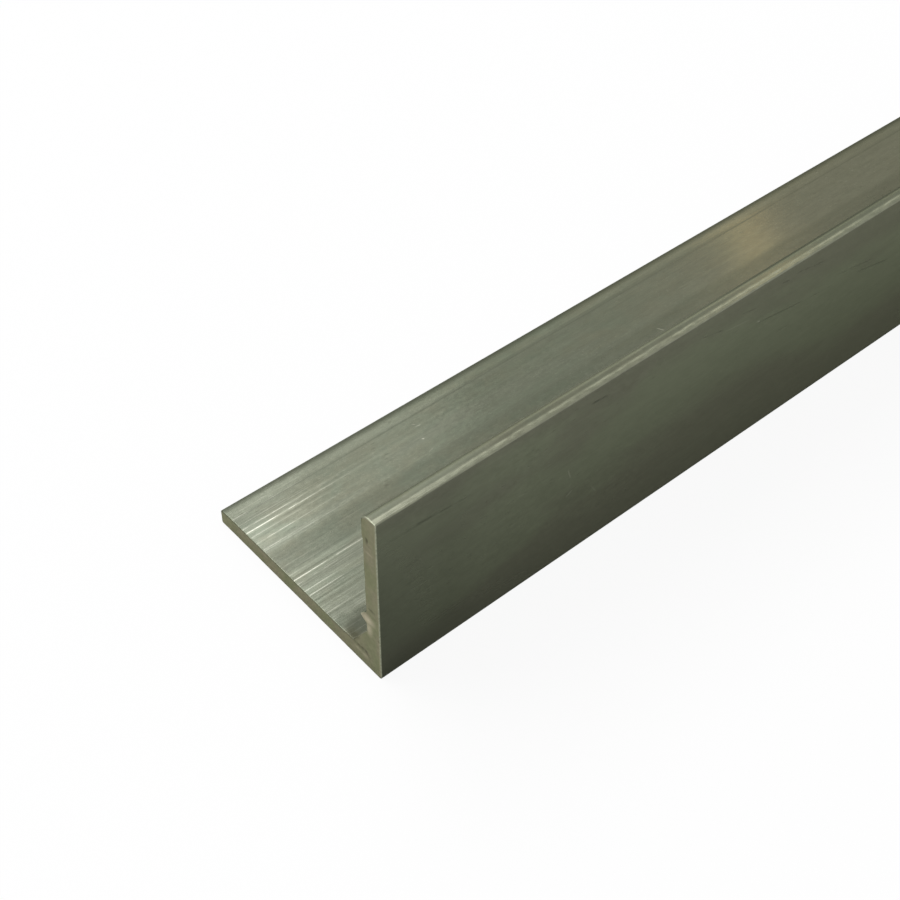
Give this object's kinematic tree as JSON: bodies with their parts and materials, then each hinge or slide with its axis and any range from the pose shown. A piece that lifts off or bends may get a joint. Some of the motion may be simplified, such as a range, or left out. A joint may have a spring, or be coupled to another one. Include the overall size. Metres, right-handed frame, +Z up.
{
  "type": "waterstop angle",
  "caption": "Straight aluminium angle with a flat flange, a shorter upright leg with a rounded top, and square sawn ends.",
  "frame": {"origin": "centre of the footprint, on the underside of the flange", "axes": "+X along the bar away from the end that the picture shows, +Y from the upright leg towards the toe of the flange, +Z up along the leg"},
  "size_m": [3, 0.03, 0.025],
  "materials": {
    "mill_aluminium": "mill finish, drawn along the bar"
  },
  "bodies": {
    "root": {"waterstop_angle": "mill_aluminium"}
  },
  "joints": []
}
